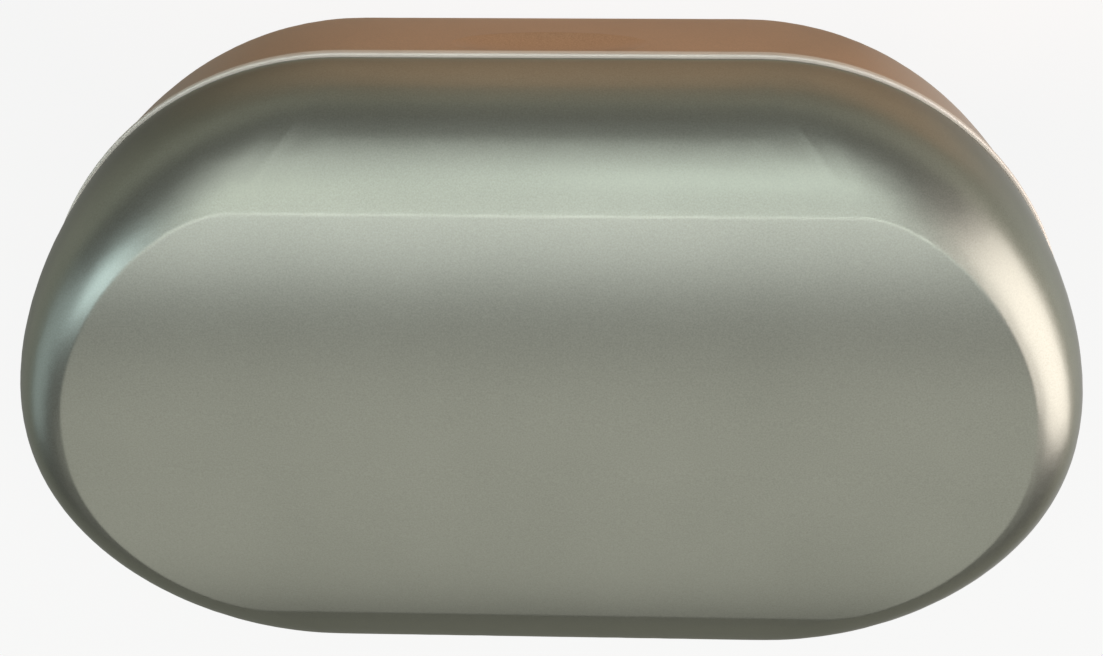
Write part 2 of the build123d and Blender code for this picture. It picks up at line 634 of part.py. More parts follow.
def make_contact_springs(side):
    """Small coil springs under the plungers, each one unbroken wire."""
    room = COLLAR_TOP - RUNNING_GAP - PLUNGER_COLLAR_THICKNESS - SPRING_BOTTOM
    height = room - 4 * SPRING_WIRE_RADIUS
    coil_radius = PLUNGER_COLLAR_RADIUS - 2 * SPRING_WIRE_RADIUS
    path = Helix(pitch=height / SPRING_TURNS, height=height, radius=coil_radius)
    wire = sweep(Plane(path @ 0, z_dir=path % 0) * Circle(SPRING_WIRE_RADIUS), path)
    lift = SPRING_BOTTOM + 2 * SPRING_WIRE_RADIUS
    return Compound([place * Pos(0, 0, lift) * wire for place in contact_places(side)])


def make_main_board():
    """Round-ended board on the floor bosses, with a tab for the socket and one for the header."""
    board = oval_plate(BOARD_HALF_LENGTH, BOARD_HALF_WIDTH, BOARD_Z, BOARD_TOP)
    half = BOARD_TAB_WIDTH / 2
    rear = SOCKET_REAR - SOCKET_OVERHANG
    board += box_between((-half, -FRONT_TAB_REACH, BOARD_Z), (half, rear, BOARD_TOP))
    for x, y in corners(BOARD_SCREW_X, BOARD_SCREW_Y):
        board -= post(x, y, BOARD_Z, BOARD_TOP, SMALL_SCREW_RADIUS + SEATED_GAP)
    return board


def make_board_chips():
    """Charger, regulator and driver packages on the main board."""
    chips = []
    for (length, width, height), (side, shift, y) in zip(CHIP_SIZES, CHIP_SHIFTS):
        body = Pos(side * WELL_X + shift, y, BOARD_TOP + height / 2) * Box(length, width, height)
        chips.append(chamfer(body.faces().sort_by(Axis.Z)[-1].edges(), CHIP_ROUND))
    return Compound(chips)


def make_board_header():
    """Spacer header that joins the button board to the main board."""
    length, width = HEADER_SIZE
    low = (-length / 2, HEADER_Y - width / 2, BOARD_TOP)
    return box_between(low, (length / 2, HEADER_Y + width / 2, BUTTON_BOARD_Z))


def make_battery():
    """Flat pouch cell."""
    cell = Box(BATTERY_LENGTH, BATTERY_WIDTH, BATTERY_THICKNESS)
    cell = Pos(0, 0, BATTERY_Z + BATTERY_THICKNESS / 2) * cell
    return fillet(cell.edges().filter_by(Axis.X), BATTERY_ROUND)


def make_battery_pad():
    """Adhesive foam under the cell."""
    size = (BATTERY_LENGTH - BATTERY_PAD_MARGIN, BATTERY_WIDTH - BATTERY_PAD_MARGIN, BATTERY_PAD_THICKNESS)
    return Pos(0, 0, BOARD_TOP + BATTERY_PAD_THICKNESS / 2) * Box(*size)


PLUG_X = -(BATTERY_LENGTH / 2 + PLUG_GAP + PLUG_SIZE[0] / 2)


def make_battery_plug():
    """Cell connector on the board."""
    return Pos(PLUG_X, LEAD_Y, BOARD_TOP + PLUG_SIZE[2] / 2) * Box(*PLUG_SIZE)


def make_battery_lead(side):
    """Insulated wire that bends from the cell's end down into the plug."""
    top = BOARD_TOP + PLUG_SIZE[2] + LEAD_BEND + LEAD_RADIUS
    corner = (PLUG_X, top)
    start = (-BATTERY_LENGTH / 2, top)
    end = (PLUG_X, BOARD_TOP + PLUG_SIZE[2])
    route = Plane.XZ * FilletPolyline(start, corner, end, radius=LEAD_BEND)
    tube = sweep(Plane(route @ 0, z_dir=route % 0) * Circle(LEAD_RADIUS), route)
    return Pos(0, LEAD_Y + side * LEAD_SPACING / 2, 0) * tube


def make_button_board():
    """Small board under the front of the deck for the switch, lights and lid sensor."""
    half = BUTTON_BOARD_WIDTH / 2
    low = (-half, BUTTON_BOARD_FRONT_Y, BUTTON_BOARD_Z)
    board = box_between(low, (half, BUTTON_BOARD_REAR_Y, BUTTON_BOARD_TOP))
    board = fillet(board.edges().filter_by(Axis.Z), BUTTON_BOARD_CORNER)
    radius = SMALL_SCREW_RADIUS + SEATED_GAP
    for side in (-1, 1):
        x = side * BUTTON_BOARD_SCREW_X
        board -= post(x, BUTTON_BOARD_SCREW_Y, BUTTON_BOARD_Z, BUTTON_BOARD_TOP, radius)
    return board


def make_button():
    """Round push button with the flange that keeps it under the deck."""
    top = DECK_TOP + BUTTON_PROUD
    flange_top = DECK_BOTTOM - RUNNING_GAP
    foot = SWITCH_TOP + SWITCH_STEM_PROUD
    button = post(0, BUTTON_Y, flange_top - BUTTON_FLANGE_THICKNESS, top, BUTTON_RADIUS)
    button = fillet(button.faces().sort_by(Axis.Z)[-1].edges(), BUTTON_ROUND)
    button += post(0, BUTTON_Y, flange_top - BUTTON_FLANGE_THICKNESS, flange_top, BUTTON_FLANGE_RADIUS)
    return button + post(0, BUTTON_Y, foot, flange_top, BUTTON_FOOT_RADIUS)


def make_switch_body():
    """Square body of the push switch."""
    half = SWITCH_SIZE / 2
    body = box_between((-half, BUTTON_Y - half, BUTTON_BOARD_TOP), (half, BUTTON_Y + half, SWITCH_TOP))
    bore_low = SWITCH_TOP - SWITCH_BORE_DEPTH
    return body - post(0, BUTTON_Y, bore_low, SWITCH_TOP, SWITCH_STEM_RADIUS + RUNNING_GAP)


def make_switch_stem():
    """Switch plunger that the button pushes."""
    low = SWITCH_TOP - SWITCH_BORE_DEPTH + BUTTON_TRAVEL + RUNNING_GAP
    return post(0, BUTTON_Y, low, SWITCH_TOP + SWITCH_STEM_PROUD, SWITCH_STEM_RADIUS)


def make_leds():
    """One light under each light pipe."""
    z = BUTTON_BOARD_TOP + LED_HEIGHT / 2
    return Compound([Pos(x, y, z) * Box(LED_SIZE, LED_SIZE, LED_HEIGHT) for x, y in LIGHT_PLACES])


def make_light_pipes():
    """Clear pins that carry each light to the deck's top."""
    low = BUTTON_BOARD_TOP + LED_HEIGHT + SOFT_GAP
    pipes = []
    for x, y in LIGHT_PLACES:
        pipe = post(x, y, low, DECK_TOP, LIGHT_RADIUS)
        pipe += post(x, y, DECK_BOTTOM - LIGHT_COLLAR_THICKNESS, DECK_BOTTOM, LIGHT_COLLAR_RADIUS)
        pipes.append(pipe)
    return Compound(pipes)


def make_hall_sensor():
    """Lid sensor under the lid's small magnet."""
    return Pos(SENSOR_MAGNET_X, MAGNET_Y, BUTTON_BOARD_TOP + HALL_SIZE[2] / 2) * Box(*HALL_SIZE)


def hinge_leaf(segments, plate, arm):
    """Hinge leaf: knuckles on the axis, an arm to each, and the plate that is screwed down."""
    leaf = plate
    for left, right in segments:
        leaf += bar_along_x(left, right, HINGE_Y, HINGE_Z, HINGE_RADIUS)
        leaf += box_between((left, LEAF_Y, arm[0]), (right, HINGE_Y, arm[1]))
    return leaf


def make_base_leaf():
    """Leaf of the base, with three knuckles."""
    segments = [HINGE_EDGES[i : i + 2] for i in (0, 2, 4)]
    wide = HINGE_EDGES[-1]
    plate_top = HINGE_Z - LEAF_CLEAR
    plate_low = HINGE_Z - BASE_LEAF_DROP
    plate = box_between((-wide, LEAF_Y, plate_low), (wide, LEAF_Y + LEAF_THICKNESS, plate_top))
    leaf = hinge_leaf(segments, plate, (HINGE_Z - HINGE_RADIUS, plate_top))
    leaf -= bar_along_x(-wide, wide, HINGE_Y, HINGE_Z, HINGE_PIN_RADIUS + SEATED_GAP)
    for hole in leaf_holes(BASE_HINGE_SCREW_X, BASE_SCREW_Z):
        leaf -= hole
    return leaf


def make_lid_leaf():
    """Leaf of the lid, with two knuckles between the base's three."""
    segments = [(HINGE_EDGES[i] + SWING_GAP, HINGE_EDGES[i + 1] - SWING_GAP) for i in (1, 3)]
    wide = segments[1][1]
    plate_low = HINGE_Z + LEAF_CLEAR
    plate_top = HINGE_Z + LID_LEAF_RISE
    plate = box_between((-wide, LEAF_Y, plate_low), (wide, LEAF_Y + LEAF_THICKNESS, plate_top))
    plate -= box_between(
        (segments[0][1], LEAF_Y - CUT_PAST, plate_low),
        (segments[1][0], HINGE_Y, HINGE_Z + HINGE_RADIUS + SWING_GAP),
    )
    leaf = hinge_leaf(segments, plate, (plate_low, HINGE_Z + HINGE_RADIUS))
    leaf -= bar_along_x(-wide - CUT_PAST, wide + CUT_PAST, HINGE_Y, HINGE_Z, HINGE_PIN_RADIUS + RUNNING_GAP)
    for hole in leaf_holes(LID_HINGE_SCREW_X, LID_SCREW_Z):
        leaf -= hole
    return leaf


def make_lid_liner():
    """Inner skin of the lid with a thick rim that holds the magnets."""
    gap = WALL + NEST_GAP
    skin = lid_form(gap) - lid_form(gap + LINER_WALL)
    outer = HALF_LENGTH - gap, HALF_DEPTH - gap
    inner = outer[0] - LINER_RIM_WIDTH, outer[1] - LINER_RIM_WIDTH
    rim_top = LINER_Z + LINER_RIM_HEIGHT
    rim = oval_plate(*outer, LINER_Z, rim_top) - oval_plate(*inner, LINER_Z, rim_top)
    rim &= lid_form(gap)
    liner = skin + rim
    liner -= box_between((-CASE_LENGTH, -CASE_DEPTH, 0), (CASE_LENGTH, CASE_DEPTH, LINER_Z))
    for side in (-1, 1):
        liner -= magnet_disc(side * MAGNET_X, LINER_Z, MAGNET_RADIUS + SEATED_GAP)
    liner -= magnet_disc(SENSOR_MAGNET_X, LINER_Z, SENSOR_MAGNET_RADIUS + SEATED_GAP)
    liner -= hinge_room()
    wide = HINGE_EDGES[-1] + SWING_GAP
    front = LEAF_Y - SMALL_SCREW_HEAD_HEIGHT - SWING_GAP
    liner -= box_between((-wide, front, 0), (wide, CASE_DEPTH, HINGE_Z + HINGE_RADIUS + SWING_GAP))
    wide = HINGE_EDGES[4] + SWING_GAP
    liner -= box_between((-wide, front, 0), (wide, CASE_DEPTH, HINGE_Z + LID_LEAF_RISE + SWING_GAP))
    return liner


def make_lid_pad(side):
    """Soft block under the lid's roof that keeps an aid in its well."""
    low = DECK_TOP + PAD_CLEARANCE
    block = well_place(side) * capsule(PAD_LENGTH, PAD_WIDTH, low, LID_EDGE_Z + LID_RISE)
    return block & lid_form(WALL + NEST_GAP + LINER_WALL + SOFT_GAP)


def make_feet():
    """Four soft feet that cover the case screws."""
    feet = []
    for x, y in corners(CASE_SCREW_X, CASE_SCREW_Y):
        foot = post(x, y, 0, FOOT_RISE + FOOT_RECESS, FOOT_RADIUS)
        feet.append(fillet(foot.faces().sort_by(Axis.Z)[0].edges(), FOOT_ROUND))
    return Compound(feet)


def make_case_screws():
    """Long screws from under the feet up into the deck's posts."""
    z = FOOT_RISE + FOOT_RECESS + CASE_SCREW_HEAD_HEIGHT
    item = screw(CASE_SCREW_HEAD_RADIUS, CASE_SCREW_HEAD_HEIGHT, CASE_SCREW_RADIUS, CASE_SCREW_LENGTH)
    return Compound([Pos(x, y, z) * Rot(180, 0, 0) * item for x, y in corners(CASE_SCREW_X, CASE_SCREW_Y)])


def make_board_screws():
    """Screws that hold the main board on its bosses."""
    places = corners(BOARD_SCREW_X, BOARD_SCREW_Y)
    return Compound([Pos(x, y, BOARD_TOP) * small_screw() for x, y in places])


def make_button_board_screws():
    """Screws that hang the button board under the deck."""
    item = Rot(180, 0, 0) * small_screw()
    places = [Pos(side * BUTTON_BOARD_SCREW_X, BUTTON_BOARD_SCREW_Y, BUTTON_BOARD_Z) for side in (-1, 1)]
    return Compound([place * item for place in places])


save(make_lid_shell(), "lid_shell")
save(make_lid_liner(), "lid_liner")
save(magnet_pair(LINER_Z), "lid_magnets")
save(magnet_disc(SENSOR_MAGNET_X, LINER_Z, SENSOR_MAGNET_RADIUS), "lid_sensor_magnet")
save(make_lid_leaf(), "lid_hinge_leaf")
save(Compound(leaf_screws(LID_HINGE_SCREW_X, LID_SCREW_Z)), "lid_hinge_screws")
save(make_base_shell(), "base_shell")
save(make_rim_trim(), "rim_trim")
save(make_deck(), "deck")
save(magnet_pair(BASE_MAGNET_Z), "base_magnets")
save(make_base_leaf(), "base_hinge_leaf")
save(Compound(leaf_screws(BASE_HINGE_SCREW_X, BASE_SCREW_Z)), "base_hinge_screws")
save(bar_along_x(HINGE_EDGES[0], HINGE_EDGES[-1], HINGE_Y, HINGE_Z, HINGE_PIN_RADIUS), "hinge_pin")
save(make_main_board(), "main_board")
save(make_board_chips(), "board_chips")
save(make_board_header(), "board_header")
save(make_board_screws(), "board_screws")
save(make_button_board(), "button_board")
save(make_button_board_screws(), "button_board_screws")
save(make_leds(), "leds")
save(make_light_pipes(), "light_pipes")
save(make_hall_sensor(), "lid_sensor")
save(make_switch_body(), "switch_body")
save(make_switch_stem(), "switch_stem")
save(make_button(), "status_button")
save(make_battery(), "battery")
save(make_battery_pad(), "battery_pad")
save(make_battery_plug(), "battery_plug")
save(make_battery_lead(-1), "battery_lead_minus")
save(make_battery_lead(1), "battery_lead_plus")
save(make_usb_socket(), "usb_socket")
save(make_usb_tongue(), "usb_tongue")
save(make_case_screws(), "case_screws")
save(make_feet(), "feet")
for side_name, side_sign in SIDES:
    save(make_insert(side_sign), "insert_" + side_name)
    save(make_contact_block(side_sign), "contact_block_" + side_name)
    save(make_contact_springs(side_sign), "contact_springs_" + side_name)
    save(make_plungers(side_sign), "contact_plungers_" + side_name)
    save(make_lid_pad(side_sign), "lid_pad_" + side_name)
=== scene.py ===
# %% [markdown]
# Charging case for a pair of behind-the-ear hearing aids, closed and standing on its feet. The solid model
# gives every piece at its real size, so this file only has to dress it: finishes for the pieces whose shape
# is already right, and softer or finer meshes for those whose shape is not. Lengths are in metres
# throughout, and MM turns the millimetres of a drawing into them.

# %% Setup
import json
import math

import bmesh
import bpy
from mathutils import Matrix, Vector


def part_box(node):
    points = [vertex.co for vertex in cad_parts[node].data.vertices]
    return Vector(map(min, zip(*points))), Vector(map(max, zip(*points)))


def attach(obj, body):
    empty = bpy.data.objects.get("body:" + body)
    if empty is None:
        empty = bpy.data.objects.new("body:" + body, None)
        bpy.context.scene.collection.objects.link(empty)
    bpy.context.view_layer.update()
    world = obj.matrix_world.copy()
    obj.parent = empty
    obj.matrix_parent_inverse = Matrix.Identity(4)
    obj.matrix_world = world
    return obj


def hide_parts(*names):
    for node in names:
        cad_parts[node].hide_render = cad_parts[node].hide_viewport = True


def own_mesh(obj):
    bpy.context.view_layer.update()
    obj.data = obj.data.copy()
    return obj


MM = 0.001
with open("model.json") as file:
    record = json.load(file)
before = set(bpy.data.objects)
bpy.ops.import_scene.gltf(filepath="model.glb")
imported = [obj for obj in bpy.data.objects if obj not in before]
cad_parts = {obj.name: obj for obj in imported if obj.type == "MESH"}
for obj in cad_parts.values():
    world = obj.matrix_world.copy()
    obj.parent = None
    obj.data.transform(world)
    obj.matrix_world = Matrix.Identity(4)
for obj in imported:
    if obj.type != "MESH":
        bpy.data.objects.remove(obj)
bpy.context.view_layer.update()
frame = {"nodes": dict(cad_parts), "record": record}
nodes = frame["nodes"]

# %% [markdown]
# The camera comes first, because every later choice is judged through it. The picture is taken from above
# and in front of the opening edge, with the case turned so that this edge is at the top of the picture. The
# place, the turn and the lens were found by laying the outline, the seam and the crease over the picture.

# %% Camera
CAMERA_PLACE = (-4.87 * MM, -73.85 * MM, 156.16 * MM)
CAMERA_TURN = (-27.50, 1.85, 179.69)
CAMERA_LENS = 51.92
CAMERA_SENSOR = 36.0

camera_data = bpy.data.cameras.new("camera")
camera_data.lens = CAMERA_LENS
camera_data.sensor_width = CAMERA_SENSOR
camera_data.sensor_fit = "HORIZONTAL"
camera_data.clip_start = 0.01
camera_data.clip_end = 10.0
camera = bpy.data.objects.new("camera", camera_data)
camera.location = CAMERA_PLACE
camera.rotation_euler = [math.radians(angle) for angle in CAMERA_TURN]
bpy.context.scene.collection.objects.link(camera)
bpy.context.scene.camera = camera
bpy.context.scene.view_settings.view_transform = "Standard"
print("camera at", [round(v, 3) for v in camera.location])

# %% [markdown]
# Shader maths reads best when it is written as maths. This small class wraps one socket, so that adding or
# multiplying two of them adds the Math node that does it. Everything that is not arithmetic comes from one
# method, `node`, that takes the node's type, its settings and its inputs.

# %% Shader helper
class Sock:
    """One output socket of a shader node, with arithmetic."""

    def __init__(self, graph, socket):
        self.graph = graph
        self.socket = socket

    def _math(self, operation, first, second):
        return self.graph.node("ShaderNodeMath", {"operation": operation}, {0: first, 1: second})

    def __add__(self, other):
        return self._math("ADD", self, other)

    __radd__ = __add__

    def __mul__(self, other):
        return self._math("MULTIPLY", self, other)

    __rmul__ = __mul__

    def __sub__(self, other):
        return self._math("SUBTRACT", self, other)

    def __rsub__(self, other):
        return self._math("SUBTRACT", other, self)

    def clamped(self):
        """Kept between 0 and 1."""
        return self.graph.node("ShaderNodeClamp", {}, {0: self})

    def waved(self):
        """Goes up and down between 0 and 1 as the value grows."""
        return self._math("PINGPONG", self, 1.0)


class Graph:
    """The nodes of a material or of the world."""

    def __init__(self, owner):
        owner.use_nodes = True
        self.tree = owner.node_tree

    def node(self, kind, settings, inputs, output=0):
        """Adds one node, sets it up, and gives back one of its outputs."""
        made = self.tree.nodes.new(kind)
        for key, value in settings.items():
            if key == "stops":
                self.set_stops(made.color_ramp, value)
            else:
                setattr(made, key, value)
        for key, value in inputs.items():
            if isinstance(value, Sock):
                self.tree.links.new(value.socket, made.inputs[key])
            else:
                made.inputs[key].default_value = value
        return Sock(self, made.outputs[output])

    def set_stops(self, ramp, stops):
        """Puts a colour ramp's stops in place."""
        while len(ramp.elements) > len(stops):
            ramp.elements.remove(ramp.elements[-1])
        while len(ramp.elements) < len(stops):
            ramp.elements.new(1.0)
        for element, (place, color) in zip(ramp.elements, stops):
            element.position = place
            element.color = (*color, 1.0)

    def seen_share(self, straight, mirrored):
        """One share for what the camera sees straight on, another for what metal and glass send on."""
        seen, glossy, through = (self.node("ShaderNodeLightPath", {}, {}, "Is %s Ray" % kind)
                                 for kind in ("Camera", "Glossy", "Transmission"))
        return seen * straight + (glossy + through) * mirrored


class Finish(Graph):
    """One material: a Principled shader and the nodes that feed it."""

    def __init__(self, name, color, roughness, metallic=0.0):
        self.material = bpy.data.materials.new(name)
        super().__init__(self.material)
        self.shader = self.tree.nodes["Principled BSDF"]
        self.set("Base Color", (*color, 1.0))
        self.set("Roughness", roughness)
        self.set("Metallic", metallic)
        self.material.diffuse_color = (*color, 1.0)

    def set(self, name, value):
        """Sets a plain value or links a socket into the shader."""
        target = self.shader.inputs[name]
        if isinstance(value, Sock):
            self.tree.links.new(value.socket, target)
        else:
            target.default_value = value

    def place(self):
        """Object coordinates, in metres, on every piece alike."""
        return self.node("ShaderNodeTexCoord", {}, {}, "Object")

    def noise(self, scale, detail=2.0, roughness=0.5):
        """Soft noise whose grains are about 1 / scale metres apart."""
        inputs = {"Vector": self.place(), "Scale": scale, "Detail": detail, "Roughness": roughness}
        return self.node("ShaderNodeTexNoise", {}, inputs, "Fac")

    def ramp(self, fac, stops):
        """Colour that follows a value through stops of (place, colour)."""
        return self.node("ShaderNodeValToRGB", {"stops": stops}, {"Fac": fac}, "Color")

    def between(self, fac, low, high):
        """Value that goes from low to high as fac goes from 0 to 1."""
        return low + fac * (high - low)

    def bump(self, height, strength, distance, edge=0.0):
        """Normal that follows a height field, over edges that are rounded by a small radius."""
        inputs = {"Height": height, "Strength": strength, "Distance": distance}
        if edge:
            inputs["Normal"] = self.node("ShaderNodeBevel", {"samples": 6}, {"Radius": edge}, "Normal")
        self.set("Normal", self.node("ShaderNodeBump", {}, inputs, "Normal"))


def srgb(red, green, blue):
    """Colour picked in 0 to 255 steps, as linear light."""
    steps = [value / 255 for value in (red, green, blue)]
    return tuple(v / 12.92 if v < 0.04045 else ((v + 0.055) / 1.055) ** 2.4 for v in steps)


def dress(finish, *names):
    """Gives CAD nodes their finish."""
    for name in names:
        mesh = nodes[name].data
        mesh.materials.clear()
        mesh.materials.append(finish.material)


print("shader helper ready")

# %% [markdown]
# Both shells are injection-moulded plastic under a satin metallic paint: tiny flakes in a clear binder.
# Seen close it is a fine sparkle, and seen from arm's length a soft sheen that goes from bright to dark
# over the shoulder. A flat metallic colour has no sparkle, so the roughness and the height get a very fine
# noise, with cells near the size of a flake, and the colour a broad and faint one. The lid is a grey sage
# and the base a muted copper, with the same flakes in both. Paint also builds up a little over a sharp
# edge, so the crease catches a thin line of light. A Bevel node rounds the shading there, and the shape
# stays as it was made. Seen almost edge on, paint mirrors less than bare metal does, which a dark Specular
# Tint says on the lid's paint; the base's paint has none.

# %% Paint
CLOUD_SCALE = 60.0
FLAKE_SCALE = 7000.0
ORANGE_PEEL_SCALE = 900.0
FLAKE_CONTRAST = 0.45
FLAKE_ROUGHNESS = 0.07
PEEL_DEPTH = 0.02 * MM
EDGE_BUILD = 0.45 * MM
GRAZING_SHARE = 0.5


def metallic_paint(name, dark, light, roughness):
    """Satin metallic paint with flakes and the faint waviness of a sprayed coat."""
    paint = Finish(name, light, roughness, metallic=0.95)
    cloud = paint.noise(CLOUD_SCALE, detail=3.0)
    flakes = paint.noise(FLAKE_SCALE, detail=1.0)
    mix = paint.between(cloud, 0.3, 0.7) + paint.between(flakes, -FLAKE_CONTRAST, FLAKE_CONTRAST)
    paint.set("Base Color", paint.ramp(mix.clamped(), [(0.0, dark), (1.0, light)]))
    paint.set("Roughness", paint.between(flakes, roughness - FLAKE_ROUGHNESS, roughness + FLAKE_ROUGHNESS))
    paint.bump(paint.noise(ORANGE_PEEL_SCALE) * 0.5 + flakes * 0.5, 0.2, PEEL_DEPTH, edge=EDGE_BUILD)
    return paint


lid_paint = metallic_paint("lid_paint", srgb(142, 144, 132), srgb(172, 173, 160), 0.33)
base_paint = metallic_paint("base_paint", srgb(164, 144, 122), srgb(204, 182, 158), 0.33)
dress(lid_paint, "lid_shell")
dress(base_paint, "base_shell")
lid_paint.set("Specular Tint", (GRAZING_SHARE, GRAZING_SHARE, GRAZING_SHARE, 1.0))
print("paints:", lid_paint.material.name, base_paint.material.name)

# %% [markdown]
# The small hardware is bare metal, and metal is told apart by how its surface was made: a plated magnet is
# smooth with a faint haze, a stamped hinge leaf has the long lines of rolled sheet, a screw the short rings
# of a lathe. One function stretches a noise along one axis, so that its grains become lines.

# %% Metals
HAZE_SCALE = 300.0
LINE_DEPTH = 0.03 * MM


def lined_metal(name, color, roughness, stretch, depth=0.12):
    """Bare metal whose surface lines run along the axis with the smallest stretch."""
    metal = Finish(name, color, roughness, metallic=1.0)
    inputs = {"Vector": metal.place(), "Scale": stretch}
    lined = metal.node("ShaderNodeMapping", {}, inputs, "Vector")
    lines = metal.node("ShaderNodeTexNoise", {}, {"Vector": lined, "Scale": 1.0, "Detail": 2.0}, "Fac")
    haze = metal.noise(HAZE_SCALE, detail=3.0)
    metal.set("Roughness", metal.between(lines * 0.6 + haze * 0.4, roughness - 0.1, roughness + 0.14))
    darker = tuple(0.72 * value for value in color)
    metal.set("Base Color", metal.ramp(haze, [(0.3, darker), (0.65, color)]))
    metal.bump(lines, depth, LINE_DEPTH)
    return metal


dress(lined_metal("hinge_steel", srgb(186, 187, 190), 0.3, (120, 6000, 6000)),
      "lid_hinge_leaf", "base_hinge_leaf")
dress(lined_metal("pin_steel", srgb(204, 204, 206), 0.2, (9000, 400, 400)), "hinge_pin")
dress(lined_metal("magnet_nickel", srgb(206, 203, 196), 0.16, (500, 500, 500), 0.04),
      "lid_magnets", "base_magnets", "lid_sensor_magnet")
spring_steel = lined_metal("spring_steel", srgb(196, 197, 200), 0.24, (4000, 4000, 900))
dress(lined_metal("screw_zinc", srgb(132, 134, 138), 0.36, (1500, 1500, 5000)),
      "lid_hinge_screws", "base_hinge_screws", "board_screws", "button_board_screws", "case_screws")
dress(lined_metal("socket_steel", srgb(182, 183, 186), 0.28, (3000, 200, 3000)), "usb_socket")
contact_gold = lined_metal("contact_gold", srgb(226, 186, 104), 0.18, (700, 700, 700), 0.04)
dress(contact_gold, "contact_plungers_left", "contact_plungers_right")
metal_ends = ("steel", "zinc", "nickel", "gold")
print("metals:", [material.name for material in bpy.data.materials if material.name.endswith(metal_ends)])

# %% [markdown]
# The inside is moulded plastic and soft rubber. A mould that was etched leaves a fine, even grain, and
# rubber has hardly any, but it collects a little dust in its lows. So both get a small height noise, and
# the rubber a paler tone where a broad noise is high. The ring between the shells is moulded too, with a
# pearly coat that a little Metallic gives.

# %% Plastics and rubber
GRAIN_DEPTH = 0.06 * MM
TONE_SCALE = 90.0
DUST_SCALE = 700.0


def moulded(name, color, roughness, grain, depth, wear=0.88):
    """Moulded surface: an even etched grain, and a faint change of tone over the piece."""
    plastic = Finish(name, color, roughness)
    etched = plastic.noise(grain, detail=2.0, roughness=0.6)
    tone = plastic.noise(TONE_SCALE, detail=3.0)
    darker = tuple(wear * value for value in color)
    plastic.set("Base Color", plastic.ramp(tone, [(0.3, darker), (0.7, color)]))
    plastic.set("Roughness", plastic.between(etched, roughness - 0.08, roughness + 0.1))
    plastic.bump(etched, depth, GRAIN_DEPTH)
    return plastic


def soft_rubber(name, color, dust=0.12):
    """Soft-touch rubber with a little dust on it."""
    rubber = moulded(name, color, 0.68, 5000.0, 0.25)
    powder = rubber.noise(DUST_SCALE, detail=4.0, roughness=0.7)
    dusty = tuple(value + dust * (0.5 - value) for value in color)
    rubber.set("Base Color", rubber.ramp(powder, [(0.42, color), (0.75, dusty)]))
    rubber.set("Sheen Weight", 0.15)
    return rubber


deck_plastic = moulded("deck_plastic", srgb(66, 67, 70), 0.5, 3600.0, 0.5)
liner_plastic = moulded("liner_plastic", srgb(84, 85, 88), 0.5, 3600.0, 0.5)
trim_satin = moulded("trim_satin", srgb(222, 214, 200), 0.5, 3600.0, 0.15)
trim_satin.set("Metallic", 0.35)
left_rubber = soft_rubber("left_rubber", srgb(44, 78, 146), 0.05)
right_rubber = soft_rubber("right_rubber", srgb(158, 44, 46), 0.05)
pad_rubber = soft_rubber("pad_rubber", srgb(104, 105, 108), 0.06)
foot_rubber = soft_rubber("foot_rubber", srgb(40, 40, 41))
connector_plastic = moulded("connector_plastic", srgb(30, 30, 32), 0.42, 2500.0, 0.2)
nylon = moulded("nylon", srgb(226, 220, 204), 0.45, 2500.0, 0.2)
button_plastic = moulded("button_plastic", srgb(172, 172, 166), 0.34, 2800.0, 0.25)
package_epoxy = moulded("package_epoxy", srgb(34, 34, 38), 0.5, 6000.0, 0.35)
lead_black = moulded("lead_black", srgb(24, 24, 26), 0.38, 1500.0, 0.1)
lead_red = moulded("lead_red", srgb(176, 24, 22), 0.38, 1500.0, 0.1)
dress(deck_plastic, "deck")
dress(liner_plastic, "lid_liner")
dress(trim_satin, "rim_trim")
dress(connector_plastic, "contact_block_left", "contact_block_right", "board_header", "usb_tongue",
      "switch_body")
dress(nylon, "battery_plug", "switch_stem")
dress(button_plastic, "status_button")
dress(package_epoxy, "board_chips", "lid_sensor")
dress(lead_black, "battery_lead_minus")
dress(lead_red, "battery_lead_plus")
print("plastics done")

# %% [markdown]
# The boards are glass-fibre sheet under a green solder mask, and the copper tracks show through it as a
# paler green. The edges between the cells of a Voronoi pattern in flat steps run at right angles and all
# meet, which is what tracks do, so that pattern draws them. The foam under the cell is open cells, another
# Voronoi.

# %% Board, foam, lights
TRACK_SCALE = 260.0
TRACK_STEPS = 7.0
TRACK_DEPTH = 0.03 * MM
FOAM_SCALE = 1800.0
FOAM_DEPTH = 0.2 * MM
MILK_SCALE = 2500.0


def solder_mask(name, mask, track):
    """Green board with tracks under the mask."""
    board = Finish(name, mask, 0.35)
    inputs = {"Vector": board.place(), "Scale": (TRACK_SCALE, TRACK_SCALE, 0.0)}
    flat = board.node("ShaderNodeMapping", {}, inputs, "Vector")
    cells = board.node("ShaderNodeTexVoronoi", {"feature": "F1", "distance": "MANHATTAN"},
                       {"Vector": flat, "Scale": 1.0, "Randomness": 0.8}, "Distance")
    lines = (cells * TRACK_STEPS).waved()
    board.set("Base Color", board.ramp(lines, [(0.55, mask), (0.62, track)]))
    board.bump(lines, 0.25, TRACK_DEPTH)
    return board


def open_foam(name, color):
    """Foam of open cells."""
    foam = Finish(name, color, 0.95)
    inputs = {"Vector": foam.place(), "Scale": FOAM_SCALE}
    cells = foam.node("ShaderNodeTexVoronoi", {"feature": "F1"}, inputs, "Distance")
    foam.set("Base Color", foam.ramp(cells, [(0.1, color), (0.6, tuple(0.3 * value for value in color))]))
    foam.bump(cells, 0.8, FOAM_DEPTH)
    return foam


def clear_plastic(name, color, roughness):
    """Clear or milky moulding that light comes out of."""
    clear = Finish(name, color, roughness)
    clear.set("Transmission Weight", 0.55)
    clear.set("IOR", 1.49)
    clear.set("Roughness", clear.between(clear.noise(MILK_SCALE), roughness - 0.05, roughness + 0.1))
    return clear


